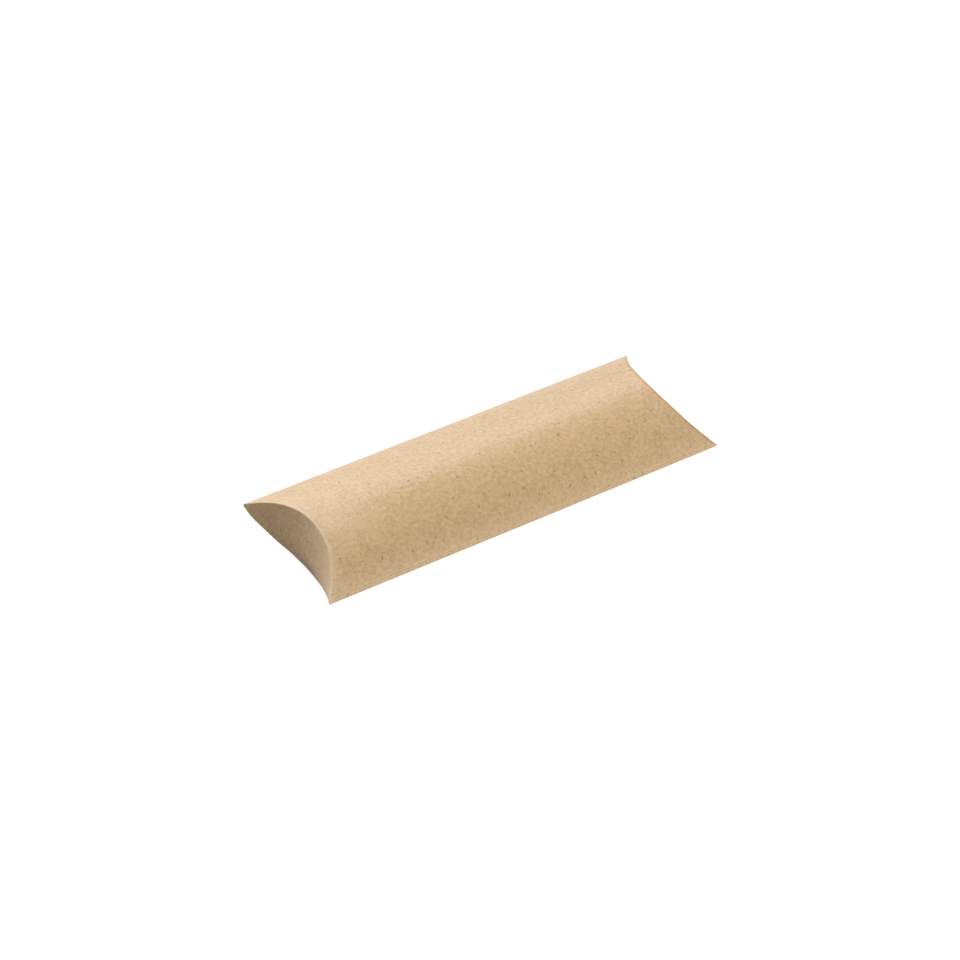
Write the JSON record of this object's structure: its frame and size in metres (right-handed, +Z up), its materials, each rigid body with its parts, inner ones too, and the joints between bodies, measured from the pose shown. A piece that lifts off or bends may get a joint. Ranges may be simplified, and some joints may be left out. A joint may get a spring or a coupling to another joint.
{
  "type": "pillow box",
  "caption": "Kraft card pillow box: a lens-shaped folded tube with arched walls, closed at each end by two curved flaps hinged on curved creases.",
  "frame": {"origin": "on the table under the middle of the box", "axes": "+X along the box towards its right end, +Y across it towards the glued seam, +Z up"},
  "size_m": [0.22, 0.07, 0.028],
  "materials": {
    "card_upper": "plain uncoated kraft card, matt, with fine fibres and flecks",
    "card_lower": "plain uncoated kraft card, matt, with fine fibres and flecks",
    "card_fold": "kraft card crushed and scored along a fold, its fibres paler",
    "card_flap": "plain uncoated kraft card, matt, with fine fibres and flecks",
    "adhesive": "dried white glue, thin and slightly translucent"
  },
  "bodies": {
    "tube": {"top_panel": "card_upper", "bottom_panel": "card_lower", "front_fold": "card_fold", "seam_fold": "card_fold", "glue_tab": "card_lower", "glue_line": "adhesive", "left_lower_crease": "card_fold", "right_lower_crease": "card_fold"},
    "left_outer_flap": {"left_outer_flap": "card_flap", "left_upper_crease": "card_fold"},
    "left_inner_flap": {"left_inner_flap": "card_flap"},
    "right_outer_flap": {"right_outer_flap": "card_flap", "right_upper_crease": "card_fold"},
    "right_inner_flap": {"right_inner_flap": "card_flap"}
  },
  "joints": [
    {"name": "left_outer_hinge", "type": "hinge", "parent": "tube", "child": "left_outer_flap", "pos_m": [-0.0966, 0, 0.028], "axis": [0, 1, 0], "range_deg": [0, 110]},
    {"name": "right_outer_hinge", "type": "hinge", "parent": "tube", "child": "right_outer_flap", "pos_m": [0.0966, 0, 0.028], "axis": [0, -1, 0], "range_deg": [0, 110]},
    {"name": "left_inner_hinge", "type": "hinge", "parent": "tube", "child": "left_inner_flap", "pos_m": [-0.09555, 0, 0.00045], "axis": [0, 1, 0], "range_deg": [0, 80]},
    {"name": "right_inner_hinge", "type": "hinge", "parent": "tube", "child": "right_inner_flap", "pos_m": [0.09555, 0, 0.00045], "axis": [0, -1, 0], "range_deg": [0, 80]}
  ]
}
